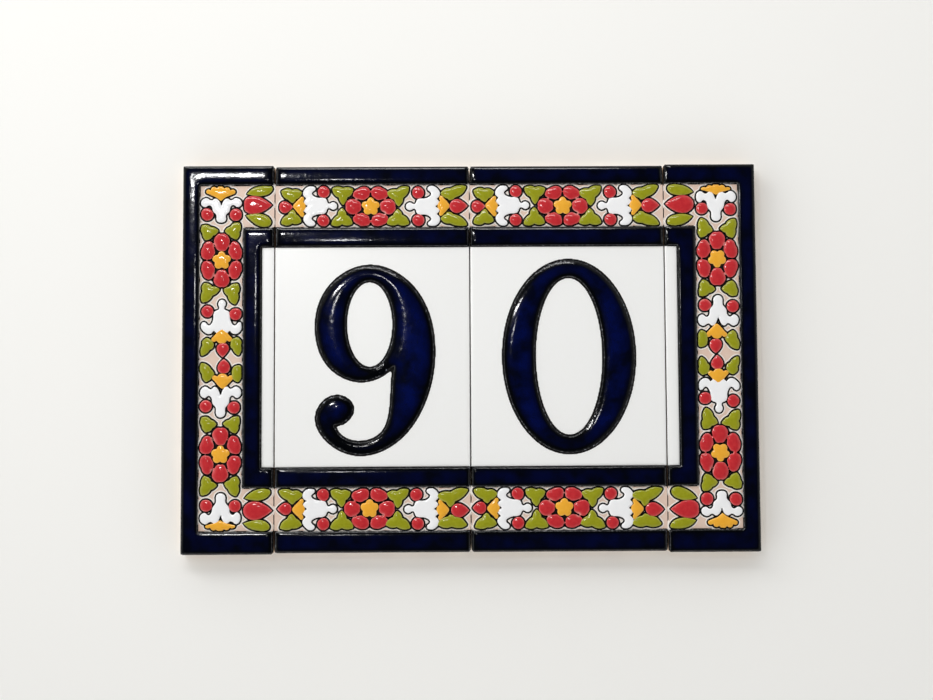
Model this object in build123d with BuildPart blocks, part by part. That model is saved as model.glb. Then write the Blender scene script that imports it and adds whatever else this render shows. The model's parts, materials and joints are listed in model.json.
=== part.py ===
from build123d import *
import os
from math import atan2, cos, degrees, pi, sin

# A house number plaque of four glazed tiles laid edge to edge: a nine, a nought and an end tile each side.
# The front faces -Y, the backs lie on y = 0, and the origin is the middle of the backs. Millimetres.

# Tiles
number_tile_width = 75.0
tile_thickness = 7.0
seam = 0.4
end_overhang = 0.5
corner_ease = 0.8
edge_ease = 0.6

# Bands of the design, from the middle of a tile up and down
digit_clearance = 4.25
inner_bar = 7.4
strip_width = 16.7
outer_bar = 7.7
design_lift = 0.5

# Upright bands of an end tile, from its outer edge inwards
side_outer_bar = 6.6
side_strip = 16.9
side_inner_bar = 7.0
side_field = 5.0

# Pockets pressed into the back for the mortar to key into
key_rim = 7.0
key_rib = 4.0
key_depth = 0.8
key_rows = 4
number_key_columns = 2
end_key_columns = 1

# How far each pool of glaze stands above the face, and how deep it is rooted below it
digit_rise = 1.5
bar_rise = 1.2
red_rise = 0.9
green_rise = 0.8
yellow_rise = 0.7
white_rise = 0.6
root_depth = 0.5
line_width = 0.6
digit_bevel = 0.8
nine_outer_sides = 84
nine_tail_sides = 22

# Digits, with the middle of each measured from the middle of its tile's design
nine_width = 46.8
nine_height = 74.3
nine_counter_width = 17.0
nine_counter_height = 32.2
nine_counter_across = -2.1
nine_counter_lift = 13.7
nine_across = 1.1
nine_drop = 1.3
nought_width = 52.2
nought_height = 75.9
nought_counter_width = 25.2
nought_counter_height = 60.0
nought_across = 0.4
nought_drop = 0.2
nought_border_across = -0.9

# Motifs of the floral border
petal_width = 5.8
petal_length = 6.0
petal_reach = 6.7
petal_spread = 3.3
petal_rise = 5.1
heart_width = 6.4
heart_waist = 4.2
heart_lobes = 5
berry_width = 4.3
lobe_width = 3.6
leaf_tip_width = 2.2
lobe_share = 0.3
leaf_notches = (1.35, 1.1, 0.55)
lance_width = 4.2
lance_length = 8.8
bud_width = 4.9
bud_length = 5.8
small_bud_width = 4.3
small_bud_length = 4.8
corner_bud_width = 6.6
corner_bud_length = 10.2
calyx_width = 6.8
calyx_length = 3.9
end_calyx_width = 7.2
end_calyx_length = 5.0
wide_calyx_width = 9.6
wide_calyx_length = 5.2
low_calyx_length = 4.0
lily_width = 15.0
lily_length = 12.0
open_lily_length = 11.2
short_lily_length = 9.0
end_flower_stretch = 1.08

# The lengths and widths that the border patterns are drawn on, before they are stretched to their strips
drawn_strip_length = 75.0
drawn_strip_width = 16.7
drawn_column_length = 133.6
drawn_column_width = 16.9
drawn_arm_length = 12.0

# Sizes that follow from the above. The field leaves the lower digit its clearance from the bars.
half_field = max(nine_height / 2 + nine_drop, nought_height / 2 + nought_drop) + digit_clearance
half_inner = half_field + inner_bar
half_strip = half_inner + strip_width
number_tile_height = 2 * (half_strip + outer_bar)
end_tile_height = number_tile_height + 2 * end_overhang
end_tile_width = side_outer_bar + side_strip + side_inner_bar + side_field
strip_middle = half_inner + strip_width / 2
number_tile_middle = (seam + number_tile_width) / 2
end_tile_middle = 1.5 * seam + number_tile_width + end_tile_width / 2
bar_round = 0.9 * bar_rise

# Half outlines of the motifs that are alike on both sides, drawn pointing up on a unit width and length,
# as (across, along) from the tip to the back
bud_half = [(0, 0.55), (0.36, 0.26), (0.52, -0.12), (0.22, -0.52)]
calyx_half = [(0, 0.56), (0.2, 0.14), (0.52, -0.06), (0.46, -0.46), (0.24, -0.34), (0.12, -0.54)]
lily_half = [
    (0.1, 1.0), (0.055, 0.74), (0.19, 0.7), (0.19, 0.21), (0.3, 0.17), (0.43, 0.36),
    (0.53, 0.14), (0.33, -0.03), (0.19, 0.09), (0.1, -0.02), (0, 0.17),
]
open_lily_half = [
    (0.11, 1.01), (0.12, 0.74), (0.215, 0.57), (0.23, 0.36), (0.3, 0.27), (0.4, 0.41),
    (0.53, 0.2), (0.33, -0.03), (0.25, 0.1), (0.165, -0.03), (0.035, 0.1), (0, 0.45),
]


def motif(half, place, turn, width, length):
    """A closed outline from its right half: sized, turned anticlockwise and moved to its place."""
    left = [(-across, along) for across, along in reversed(half) if across]
    corners = [Vector(across * width, along * length) for across, along in half + left]
    return [corner.rotate(Axis.Z, turn) + Vector(*place) for corner in corners]


def oval(place, turn, width, length, corners=6):
    """A round cell, drawn as a few straight sides with their corners on its oval."""
    angles = [(k + 0.5) * 2 * pi / corners for k in range(corners)]
    around = [Vector(width / 2 * sin(a), length / 2 * cos(a)) for a in angles]
    return [corner.rotate(Axis.Z, turn) + Vector(*place) for corner in around]


def berry(*place):
    return ("red", oval(place, 0, berry_width, berry_width))


def bud(place, turn, width=bud_width, length=bud_length):
    return ("red", motif(bud_half, place, turn, width, length))


def small_bud(place, turn):
    return bud(place, turn, small_bud_width, small_bud_length)


def calyx(place, turn, width=calyx_width, length=calyx_length):
    return ("yellow", motif(calyx_half, place, turn, width, length))


def lily(place, turn):
    return ("white", motif(lily_half, place, turn, lily_width, lily_length))


def open_lily(place, turn, length=open_lily_length):
    return ("white", motif(open_lily_half, place, turn, lily_width, length))


def lance(place, turn):
    return ("green", motif(bud_half, place, turn, lance_width, lance_length))


def flower(place, turn, stretch=1):
    """Six petals round a lobed heart, longer across where it isn't turned, and stretched up and down."""
    spots = [Vector(petal_reach, 0), Vector(petal_spread, petal_rise), Vector(-petal_spread, petal_rise)]
    cells = []
    for spot in spots + [spot * -1 for spot in spots]:
        outward = degrees(atan2(-spot.X, spot.Y))
        cells.append(("red", oval(spot.rotate(Axis.Z, turn), turn + outward, petal_width, petal_length)))
    radii = [heart_width / 2, heart_waist / 2] * heart_lobes
    step = 180 / heart_lobes
    cells.append(("yellow", [Vector(0, radius).rotate(Axis.Z, k * step) for k, radius in enumerate(radii)]))
    middle = Vector(*place)
    return [(glaze, [middle + Vector(c.X, c.Y * stretch) for c in outline]) for glaze, outline in cells]


def leaf(tip, far_lobe, near_lobe):
    """A leaf of three lobes, given by their ends, with a slit between its near lobe and its tip."""
    ends = [Vector(*tip), Vector(*far_lobe), Vector(*near_lobe)]
    middle = (ends[0] + ends[1] + ends[2]) / 3
    lobes = [end + (middle - end).normalized() * line_width / 2 for end in ends]
    outline = []
    for k, lobe in enumerate(lobes):
        before, after = lobes[k - 1], lobes[(k + 1) % 3]
        side = (lobe - middle).normalized().rotate(Axis.Z, 90)
        if side.dot(after - middle) < 0:
            side = side * -1
        widest = lobe_width if k else leaf_tip_width
        for neighbour, way in ((before, -1), (after, 1)):
            half_width = min(widest / 2, lobe_share * (neighbour - lobe).length)
            outline.append(lobe + side * half_width * way)
        outline.append(middle + ((lobe + after) / 2 - middle) * leaf_notches[k])
    return ("green", outline)


# The border above a number, drawn from the middle of its strip
upper_strip = [
    *flower((-0.6, -0.3), 0),
    leaf((-30.8, 1.6), (-34.8, 5.8), (-27.5, 5.4)),
    leaf((-30.7, -1.7), (-34.8, -6.6), (-27.8, -5.8)),
    leaf((-11.3, 0.9), (-15.1, 6.8), (-7.8, 6.5)),
    leaf((-11.6, -1.0), (-15.4, -7.0), (-8.0, -6.7)),
    leaf((10.4, 0.2), (13.8, 7.2), (6.1, 5.1)),
    leaf((9.8, -1.6), (14.0, -6.8), (6.1, -6.6)),
    leaf((29.7, 2.5), (36.0, 7.2), (26.8, 4.8)),
    leaf((29.0, -2.8), (36.2, -7.2), (26.8, -5.0)),
    lily((-26.1, 0.1), -90),
    lily((25.6, -0.2), 90),
    calyx((-28.3, -0.1), 90),
    calyx((27.8, 0.0), -90),
    small_bud((-33.4, -0.3), -90),
    bud((33.4, -0.1), -90),
    berry(-18.8, 5.7),
    berry(-18.9, -5.7),
    berry(17.8, 5.2),
    berry(17.9, -6.0),
]

# The border below a number
lower_strip = [
    *flower((-1.1, 0.3), 0),
    leaf((-30.6, 2.4), (-35.3, 7.1), (-27.0, 5.8)),
    leaf((-30.8, -1.9), (-34.9, -6.9), (-27.4, -5.8)),
    leaf((-11.8, 1.2), (-15.6, 7.1), (-8.7, 6.4)),
    leaf((-11.6, -0.9), (-15.7, -6.9), (-7.8, -6.8)),
    leaf((9.7, 0.7), (13.5, 7.2), (5.9, 6.0)),
    leaf((9.5, -1.2), (14.0, -6.9), (5.3, -5.8)),
    leaf((29.6, 1.0), (36.0, 7.2), (25.0, 5.0)),
    leaf((29.8, -2.5), (35.6, -6.0), (25.2, -5.8)),
    lily((-26.1, 0.2), -90),
    lily((24.7, 0.0), 90),
    calyx((-28.3, 0.1), 90),
    calyx((27.0, -0.4), -90),
    small_bud((-33.6, 0.3), 90),
    bud((33.5, -0.6), -90),
    berry(-18.9, 6.0),
    berry(-18.8, -5.9),
    berry(16.7, 5.6),
    berry(17.3, -5.8),
]

# The upright border of an end tile, drawn from the middle of its column
column = [
    calyx((-0.3, 63.4), 180, wide_calyx_width, wide_calyx_length),
    open_lily((-0.1, 61.6), 180, short_lily_length),
    berry(-5.5, 55.6),
    berry(5.6, 55.4),
    leaf((-1.5, 49.2), (-7.3, 50.8), (-6.0, 45.6)),
    leaf((1.7, 48.9), (6.8, 51.8), (5.8, 46.0)),
    *flower((0.2, 37.5), 90, end_flower_stretch),
    leaf((-0.9, 26.1), (-7.0, 21.6), (-6.4, 28.5)),
    leaf((1.4, 26.2), (5.5, 20.8), (6.3, 28.2)),
    lily((0.4, 9.6), 0),
    berry(-5.2, 17.7),
    berry(6.2, 16.0),
    calyx((0.5, 8.3), 0, end_calyx_width, end_calyx_length),
    leaf((-7.2, 1.0), (-5.2, 7.2), (-2.9, 5.4)),
    leaf((6.9, 1.0), (6.4, 7.4), (4.3, 5.8)),
    small_bud((0.8, 2.9), 180),
    small_bud((1.2, -3.6), 0),
    leaf((-2.6, -6.3), (-7.2, -2.6), (-5.4, -9.3)),
    leaf((4.4, -5.8), (7.2, -3.3), (6.8, -9.3)),
    calyx((0.8, -9.3), 180, end_calyx_width, end_calyx_length),
    open_lily((0.1, -11.4), 180),
    berry(-6.0, -18.8),
    berry(5.1, -19.4),
    leaf((-1.7, -25.5), (-7.0, -23.3), (-5.6, -28.5)),
    leaf((1.4, -25.4), (6.9, -23.2), (5.8, -28.9)),
    *flower((0.1, -37.4), 90, end_flower_stretch),
    leaf((-1.4, -49.1), (-6.8, -52.5), (-6.0, -45.8)),
    leaf((2.1, -48.5), (6.2, -52.8), (6.3, -46.0)),
    open_lily((0.4, -63.7), 0),
    berry(-5.2, -56.7),
    berry(7.2, -57.0),
    calyx((0.2, -65.2), 0, wide_calyx_width, low_calyx_length),
]

# The short arms of the end tile's border, above and below its field
upper_arm = [
    bud((-0.7, 0.6), -90, corner_bud_width, corner_bud_length),
    lance((0.5, 6.2), 105),
    lance((0.1, -5.1), 72),
]
lower_arm = [
    bud((0.0, -0.3), -90, corner_bud_width, corner_bud_length),
    lance((0.1, 5.8), 105),
    lance((-0.2, -6.1), 80),
]

glaze_rises = {"red": red_rise, "green": green_rise, "yellow": yellow_rise, "white": white_rise}


def tile_plane(middle, depth, turned=False):
    """The plane at a depth behind a tile's face, with its x across the tile and its z out of the front."""
    across = (-1, 0, 0) if turned else (1, 0, 0)
    return Plane(origin=(middle, depth - tile_thickness, 0), x_dir=across, z_dir=(0, -1, 0))


def patch(left, low, right, high, mode=Mode.ADD):
    """A rectangle given by its sides."""
    with Locations(((left + right) / 2, (low + high) / 2)):
        Rectangle(right - left, high - low, mode=mode)


def pressed_body(middle, width, height, columns):
    """The plain tile: a slab with eased corners and front edges, and keyed pockets in its back."""
    pocket_width = (width - 2 * key_rim + key_rib) / columns - key_rib
    pocket_height = (height - 2 * key_rim + key_rib) / key_rows - key_rib
    with BuildPart() as body:
        with BuildSketch(tile_plane(middle, tile_thickness)):
            Rectangle(width, height)
        extrude(amount=tile_thickness)
        chamfer(body.edges().filter_by(Axis.Y), corner_ease)
        chamfer(body.faces().sort_by(Axis.Y)[0].edges(), edge_ease)
        with BuildSketch(tile_plane(middle, tile_thickness)):
            with GridLocations(pocket_width + key_rib, pocket_height + key_rib, columns, key_rows):
                Rectangle(pocket_width, pocket_height)
        extrude(amount=key_depth, mode=Mode.SUBTRACT)
    return body.part


def glaze_cells(glaze, pattern, place, size, drawn_size, across=0):
    """Draws a pattern's cells of one glaze, stretched from its drawn size to its strip and kept in it."""
    limits = [(length - line_width) / 2 for length in size]
    cells = []
    for kind, outline in pattern:
        if kind == glaze:
            corners = []
            for corner in outline:
                moved = (corner.X + across, corner.Y)
                spot = [v * length / drawn for v, length, drawn in zip(moved, size, drawn_size)]
                kept = [max(-limit, min(limit, v)) for v, limit in zip(spot, limits)]
                corners.append((place[0] + kept[0], place[1] + kept[1]))
            cells.append(Polygon(*corners, align=None, mode=Mode.PRIVATE))
    add(cells)


def draw_nine():
    """A bowl, a stem and a tail that ends in a ball, with its curves drawn as rows of short sides."""
    around = [
        (0.27, -0.11), (0.06, -0.2), (-0.26, -0.24), (-0.79, -0.07), (-1, 0.27), (-0.82, 0.74), (-0.1, 1),
        (0.66, 0.76), (1, 0.14), (0.87, -0.39), (0.34, -0.87), (-0.26, -1), (-0.82, -0.84), (-1, -0.57),
        (-0.62, -0.35), (-0.33, -0.49), (-0.44, -0.64), (-0.63, -0.69),
    ]
    tail = [(-0.63, -0.69), (-0.5, -0.79), (-0.24, -0.83), (0.06, -0.76), (0.22, -0.5), (0.27, -0.11)]
    with BuildLine() as outline:
        for row, sides in ((around, nine_outer_sides), (tail, nine_tail_sides)):
            curve = Spline(*[(x * nine_width / 2, y * nine_height / 2) for x, y in row], mode=Mode.PRIVATE)
            Polyline(*[curve @ (k / sides) for k in range(sides + 1)])
    make_face(outline.edges())
    with Locations((nine_counter_across, nine_counter_lift)):
        Ellipse(nine_counter_width / 2, nine_counter_height / 2, mode=Mode.SUBTRACT)


def draw_nought():
    """An upright oval ring."""
    Ellipse(nought_width / 2, nought_height / 2)
    Ellipse(nought_counter_width / 2, nought_counter_height / 2, mode=Mode.SUBTRACT)


def number_tile(middle, draw_digit, digit_place, border_across=0):
    """A tile with a digit on its field, between two bars and a floral border above and below."""
    half_width = number_tile_width / 2 - edge_ease
    half_height = number_tile_height / 2 - edge_ease
    plane = tile_plane(middle, root_depth)
    strip = (number_tile_width, strip_width)
    drawn = (drawn_strip_length, drawn_strip_width)
    body = pressed_body(middle, number_tile_width, number_tile_height, number_key_columns)
    with BuildPart() as tile:
        add(body)
        with BuildSketch(plane):
            patch(-half_width, design_lift + half_strip, half_width, half_height)
            patch(-half_width, design_lift + half_field, half_width, design_lift + half_inner)
            patch(-half_width, design_lift - half_inner, half_width, design_lift - half_field)
            patch(-half_width, -half_height, half_width, design_lift - half_strip)
        extrude(amount=root_depth + bar_rise)
        crowns = tile.faces(Select.LAST).group_by(Axis.Y)[0]
        fillet(crowns.edges().filter_by(Axis.X), bar_round)
        for glaze, rise in glaze_rises.items():
            with BuildSketch(plane):
                glaze_cells(glaze, upper_strip, (0, design_lift + strip_middle), strip, drawn, border_across)
                glaze_cells(glaze, lower_strip, (0, design_lift - strip_middle), strip, drawn, border_across)
            extrude(amount=root_depth + rise)
        across, drop = digit_place
        with BuildSketch(plane.shift_origin(plane.from_local_coords((across, design_lift - drop, 0)))):
            draw_digit()
        extrude(amount=root_depth + digit_rise)
        chamfer(tile.faces(Select.LAST).sort_by(Axis.Y)[0].edges(), digit_bevel)
    return tile.part


def end_tile(middle, turned):
    """A tile whose bars and border run round its outer side: drawn for the left, turned for the right."""
    half_width = end_tile_width / 2
    half_height = end_tile_height / 2
    plane = tile_plane(middle, root_depth, turned)
    lift = -design_lift if turned else design_lift
    strip_start = side_outer_bar - half_width
    strip_end = strip_start + side_strip
    inner_end = strip_end + side_inner_bar
    arm_length = half_width - strip_end
    arm_middle = strip_end + arm_length / 2
    arm = (arm_length, strip_width)
    arm_drawn = (drawn_arm_length, drawn_strip_width)
    column_place = (strip_start + side_strip / 2, lift)
    column_drawn = (drawn_column_width, drawn_column_length)
    open_side = half_width - edge_ease
    body = pressed_body(middle, end_tile_width, end_tile_height, end_key_columns)
    with BuildPart() as tile:
        add(body)
        with BuildSketch(plane):
            patch(edge_ease - half_width, edge_ease - half_height, open_side, half_height - edge_ease)
            patch(strip_start, lift - half_strip, open_side, lift + half_strip, Mode.SUBTRACT)
            patch(strip_end, lift - half_inner, open_side, lift + half_inner)
            patch(inner_end, lift - half_field, open_side, lift + half_field, Mode.SUBTRACT)
        extrude(amount=root_depth + bar_rise)
        fillet(tile.faces(Select.LAST).group_by(Axis.Y)[0].edges(), bar_round)
        for glaze, rise in glaze_rises.items():
            with BuildSketch(plane):
                glaze_cells(glaze, column, column_place, (side_strip, 2 * half_strip), column_drawn)
                glaze_cells(glaze, upper_arm, (arm_middle, lift + strip_middle), arm, arm_drawn)
                glaze_cells(glaze, lower_arm, (arm_middle, lift - strip_middle), arm, arm_drawn)
            extrude(amount=root_depth + rise)
    return tile.part


left_end_tile = end_tile(-end_tile_middle, turned=False)
nine_tile = number_tile(-number_tile_middle, draw_nine, (nine_across, nine_drop))
zero_tile = number_tile(number_tile_middle, draw_nought, (nought_across, nought_drop), nought_border_across)
right_end_tile = end_tile(end_tile_middle, turned=True)

os.makedirs("parts", exist_ok=True)
for name, tile in (
    ("left_end_tile", left_end_tile),
    ("nine_tile", nine_tile),
    ("zero_tile", zero_tile),
    ("right_end_tile", right_end_tile),
):
    tile.label = name
    export_step(tile, f"parts/{name}.step")
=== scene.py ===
import bpy
import json
import math
from mathutils import Matrix, Vector, noise

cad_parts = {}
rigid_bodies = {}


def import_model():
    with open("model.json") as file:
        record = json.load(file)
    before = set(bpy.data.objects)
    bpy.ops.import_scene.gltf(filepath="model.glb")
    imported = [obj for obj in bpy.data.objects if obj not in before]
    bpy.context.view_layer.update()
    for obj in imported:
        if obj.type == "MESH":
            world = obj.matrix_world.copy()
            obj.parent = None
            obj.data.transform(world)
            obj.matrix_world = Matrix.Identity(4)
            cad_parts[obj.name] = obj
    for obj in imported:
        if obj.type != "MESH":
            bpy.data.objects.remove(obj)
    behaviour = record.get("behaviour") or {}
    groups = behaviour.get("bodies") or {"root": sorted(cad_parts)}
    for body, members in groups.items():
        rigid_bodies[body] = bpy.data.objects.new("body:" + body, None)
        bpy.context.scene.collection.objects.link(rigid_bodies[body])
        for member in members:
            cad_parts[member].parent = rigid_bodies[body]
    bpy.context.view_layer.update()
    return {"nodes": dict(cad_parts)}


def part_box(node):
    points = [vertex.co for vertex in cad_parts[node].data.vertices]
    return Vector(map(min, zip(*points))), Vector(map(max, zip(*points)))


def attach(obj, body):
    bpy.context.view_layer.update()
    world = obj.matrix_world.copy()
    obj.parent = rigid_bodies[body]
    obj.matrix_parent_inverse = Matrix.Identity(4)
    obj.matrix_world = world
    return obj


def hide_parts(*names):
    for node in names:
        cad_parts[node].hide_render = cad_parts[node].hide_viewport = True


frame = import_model()

# Clay bodies: the four pressed tiles, in coarse pale clay, with keyed pockets in their backs.
# Each was pressed in a mould and fired once. They lie edge to edge, bedded on the wall.
MM = 0.001
TILES = ("left_end_tile", "nine_tile", "zero_tile", "right_end_tile")
CLAY_FRONT = -6.3 * MM
FINE = 0.001 * MM
FLAT_ANGLE = math.radians(0.5)
CLAY_HEX, CLAY_PALE_HEX, CLAY_DARK_HEX = "d6c3ae", "e4d7c8", "c2ab93"


def linear(code):
    """An sRGB hex colour as linear red, green, blue and alpha."""
    channels = [int(code[k : k + 2], 16) / 255 for k in (0, 2, 4)]
    return [c / 12.92 if c <= 0.04045 else ((c + 0.055) / 1.055) ** 2.4 for c in channels] + [1.0]


def add_node(tree, kind, inputs, **settings):
    """Adds a node and gives its first output. An input is a value, or another node's socket to link from."""
    made = tree.nodes.new(kind)
    for name, value in settings.items():
        setattr(made, name, value)
    for name, value in inputs.items():
        if isinstance(value, bpy.types.NodeSocket):
            tree.links.new(value, made.inputs[name])
        else:
            made.inputs[name].default_value = value
    return next(socket for socket in made.outputs if socket.enabled)


def new_material(name):
    """An empty material: its node tree, its shader and the piece's own coordinates in metres."""
    material = bpy.data.materials.new(name)
    material.use_nodes = True
    tree = material.node_tree
    place = add_node(tree, "ShaderNodeTexCoord", {}).node.outputs["Object"]
    return material, tree, tree.nodes["Principled BSDF"], place


def only(piece):
    """Makes one object the selected and active one."""
    bpy.ops.object.select_all(action="DESELECT")
    piece.select_set(True)
    bpy.context.view_layer.objects.active = piece


def pick(piece, test, kind="FACE"):
    """Opens a piece with only the faces or points picked that pass the test."""
    bpy.ops.object.mode_set(mode="EDIT")
    bpy.ops.mesh.select_mode(type=kind)
    bpy.ops.mesh.select_all(action="DESELECT")
    bpy.ops.object.mode_set(mode="OBJECT")
    for part in piece.data.polygons if kind == "FACE" else piece.data.vertices:
        part.select = bool(test(part))
    bpy.ops.object.mode_set(mode="EDIT")


def tile_copy(tile, name):
    """A piece of its own that starts as the tile's solid, with its triangles merged."""
    piece = bpy.data.objects.new(name, frame["nodes"][tile].data.copy())
    piece.data.materials.clear()
    bpy.context.scene.collection.objects.link(piece)
    only(piece)
    bpy.ops.object.mode_set(mode="EDIT")
    bpy.ops.mesh.select_mode(type="FACE")
    bpy.ops.mesh.select_all(action="SELECT")
    bpy.ops.mesh.remove_doubles(threshold=FINE)
    return piece


def settle(piece, material):
    """Gives a finished piece its material and slot, and fixes it to the plaque."""
    bpy.ops.object.mode_set(mode="OBJECT")
    piece.data.materials.clear()
    piece.data.materials.append(material)
    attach(piece, "root")


# Fired buff clay: open, sandy and dull, with paler and darker grains of about half a millimetre
clay, tree, shader, place = new_material("fired_buff_clay")
cloud = add_node(tree, "ShaderNodeTexNoise", {"Vector": place, "Scale": 1 / (9 * MM), "Detail": 6})
grain = add_node(tree, "ShaderNodeTexNoise", {"Vector": place, "Scale": 1 / (0.5 * MM), "Detail": 3})
patchy = add_node(tree, "ShaderNodeMapRange", {"Value": cloud, "From Min": 0.4, "From Max": 0.6})
grainy = add_node(tree, "ShaderNodeMapRange", {"Value": grain, "From Min": 0.45, "From Max": 0.8})
dull = {"Factor": patchy, "A": linear(CLAY_DARK_HEX), "B": linear(CLAY_HEX)}
flecked = {
    "Factor": grainy,
    "A": add_node(tree, "ShaderNodeMix", dull, data_type="RGBA"),
    "B": linear(CLAY_PALE_HEX),
}
tree.links.new(add_node(tree, "ShaderNodeMix", flecked, data_type="RGBA"), shader.inputs["Base Color"])
bump = add_node(tree, "ShaderNodeBump", {"Height": grain, "Distance": 0.12 * MM, "Strength": 0.6})
tree.links.new(bump, shader.inputs["Normal"])
shader.inputs["Roughness"].default_value = 0.85

for tile in TILES:
    body = tile_copy(tile, tile + ".clay")
    bpy.ops.mesh.bisect(
        plane_co=(0, CLAY_FRONT, 0), plane_no=(0, -1, 0), clear_outer=True, use_fill=True, threshold=FINE
    )
    bpy.ops.mesh.select_all(action="SELECT")
    bpy.ops.mesh.dissolve_limited(angle_limit=FLAT_ANGLE)
    settle(body, clay)
    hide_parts(tile)

# Dry lines: the dark drawing on the tile's face, a paint of manganese and grease that keeps the glazes apart.
# It lies under the glazes as a thin coat that rolls over the tile's edges, and shows as black lines between pools.
LINE_TOP = -6.98 * MM
EDGE_ROUND, EDGE_STEPS = 0.2 * MM, 3
COAT_SMOOTH = math.radians(50)
FACING = 0.99
LINE_HEX, LINE_BROWN_HEX = "050506", "16100e"

# Manganese line: matt and grainy, black with a brown tinge where it is thin
dry_line, tree, shader, place = new_material("manganese_line")
grain = add_node(tree, "ShaderNodeTexNoise", {"Vector": place, "Scale": 1 / (0.7 * MM), "Detail": 4})
brown = add_node(tree, "ShaderNodeMapRange", {"Value": grain, "From Min": 0.45, "From Max": 0.75})
burnt = {"Factor": brown, "A": linear(LINE_HEX), "B": linear(LINE_BROWN_HEX)}
tree.links.new(add_node(tree, "ShaderNodeMix", burnt, data_type="RGBA"), shader.inputs["Base Color"])
bump = add_node(tree, "ShaderNodeBump", {"Height": grain, "Distance": 0.08 * MM, "Strength": 0.5})
tree.links.new(bump, shader.inputs["Normal"])
shader.inputs["Roughness"].default_value = 0.6
shader.inputs["Specular IOR Level"].default_value = 0.15

for tile in TILES:
    coat = tile_copy(tile, tile + ".lines")
    for depth, keep in ((CLAY_FRONT, "clear_inner"), (LINE_TOP, "clear_outer")):
        bpy.ops.mesh.select_all(action="SELECT")
        bpy.ops.mesh.bisect(
            plane_co=(0, depth, 0), plane_no=(0, -1, 0), use_fill=True, threshold=FINE, **{keep: True}
        )
    bpy.ops.mesh.select_all(action="SELECT")
    bpy.ops.mesh.dissolve_limited(angle_limit=FLAT_ANGLE)
    pick(coat, lambda face: face.normal.y < -FACING)
    bpy.ops.mesh.bevel(offset=EDGE_ROUND, segments=EDGE_STEPS)
    settle(coat, dry_line)
    bpy.ops.object.shade_smooth_by_angle(angle=COAT_SMOOTH)

# Navy bars and digits: thick pools of cobalt glaze, the bars straight across the number tiles and
# round the outer side of the end tiles, the digits brushed full so that they stand up from the white.
# Each digit lies inside a broad dry line, which is a low plate of the line's own paint.
NUMBER_TILES = ("nine_tile", "zero_tile")
FACE = -7.0 * MM
ROOT = -6.7 * MM
DIGIT_TOP, BAR_TOP = -8.5 * MM, -8.2 * MM
DIGIT_FOOT, BAR_FOOT = -7.42 * MM, -7.3 * MM
DIGIT_VOXEL, BAR_VOXEL = 0.375 * MM, 0.45 * MM
DIGIT_SLUMP, BAR_SLUMP = 190, 42
RELIEF_FOOT = -7.01 * MM
LEVEL_FIT = 0.02 * MM
BACK_ANGLE = math.radians(1)
EASE, LINE_EASE = 0.5, 6
BAR_INSET = 0.3 * MM
DESIGN_LIFT = 0.5 * MM
FIELD_HALF, INNER_HALF, STRIP_HALF = 42.7 * MM, 50.1 * MM, 66.8 * MM
SIDE_OUTER, SIDE_STRIP, SIDE_INNER = 6.6 * MM, 16.9 * MM, 7.0 * MM
NAVY_FULL, NAVY_BLUE = FACE - 1.2 * MM, FACE - 1.0 * MM
GLASS_IOR = 1.52
# The sand colour is the grey of specks at the cobalt's dry edge: partly real sand, partly painted glint
NAVY_HEX, NAVY_DEEP_HEX, NAVY_THIN_HEX, SAND_AND_GLINT_HEX = "020c44", "01041a", "020306", "7d828c"


def digit_relief(tile, name):
    """The raised digit of a tile, cut off at the tile's face."""
    piece = tile_copy(tile, name)
    bpy.ops.mesh.bisect(plane_co=(0, RELIEF_FOOT, 0), plane_no=(0, -1, 0), clear_inner=True, threshold=FINE)
    pick(piece, lambda face: abs(face.center.y - DIGIT_TOP) < LEVEL_FIT)
    bpy.ops.mesh.select_linked()
    bpy.ops.mesh.select_all(action="INVERT")
    bpy.ops.mesh.delete(type="FACE")
    return piece


def one_skin(piece, voxel):
    """Makes one closed skin of the blocks of an open piece."""
    bpy.ops.mesh.select_all(action="SELECT")
    bpy.ops.mesh.normals_make_consistent(inside=False)
    bpy.ops.object.mode_set(mode="OBJECT")
    piece.data.remesh_voxel_size = voxel
    bpy.ops.object.voxel_remesh()


def finish_skin(piece):
    """Makes few large faces of a pool's flat back, which lies hidden in the tile, and shades its front as a curve."""
    pick(piece, lambda face: face.normal.y > FACING)
    bpy.ops.mesh.dissolve_limited(angle_limit=BACK_ANGLE)
    bpy.ops.object.mode_set(mode="OBJECT")
    bpy.ops.object.shade_smooth()


def digit_line(tile, name):
    """The low dark plate under a tile's digit."""
    piece = digit_relief(tile, name)
    bpy.ops.mesh.select_all(action="SELECT")
    bpy.ops.mesh.bisect(plane_co=(0, DIGIT_FOOT, 0), plane_no=(0, -1, 0), clear_outer=True, threshold=FINE)
    for depth in (DIGIT_FOOT, RELIEF_FOOT):
        pick(piece, lambda point: abs(point.co.y - depth) < FINE, "VERT")
        bpy.ops.mesh.select_mode(type="EDGE")
        bpy.ops.mesh.fill()
    one_skin(piece, DIGIT_VOXEL)
    bpy.ops.object.mode_set(mode="EDIT")
    bpy.ops.mesh.select_all(action="SELECT")
    bpy.ops.mesh.vertices_smooth(factor=EASE, repeat=LINE_EASE, yaxis=False)
    finish_skin(piece)
    return piece


def slump(piece, voxel, foot, times):
    """Makes one skin of a piece's blocks, and lets all above the foot sink into domes."""
    one_skin(piece, voxel)
    pick(piece, lambda point: point.co.y < foot, "VERT")
    bpy.ops.mesh.vertices_smooth(factor=EASE, repeat=times, xaxis=False, zaxis=False)
    finish_skin(piece)


def digit_block(tile, name):
    """A block with the outline of a digit's crown."""
    piece = digit_relief(tile, name)
    pick(piece, lambda face: face.normal.y < -FACING and abs(face.center.y - DIGIT_TOP) < LEVEL_FIT)
    bpy.ops.mesh.select_all(action="INVERT")
    bpy.ops.mesh.delete(type="FACE")
    bpy.ops.mesh.select_all(action="SELECT")
    bpy.ops.mesh.extrude_region_move(TRANSFORM_OT_translate={"value": (0, ROOT - DIGIT_TOP, 0)})
    return piece


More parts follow.
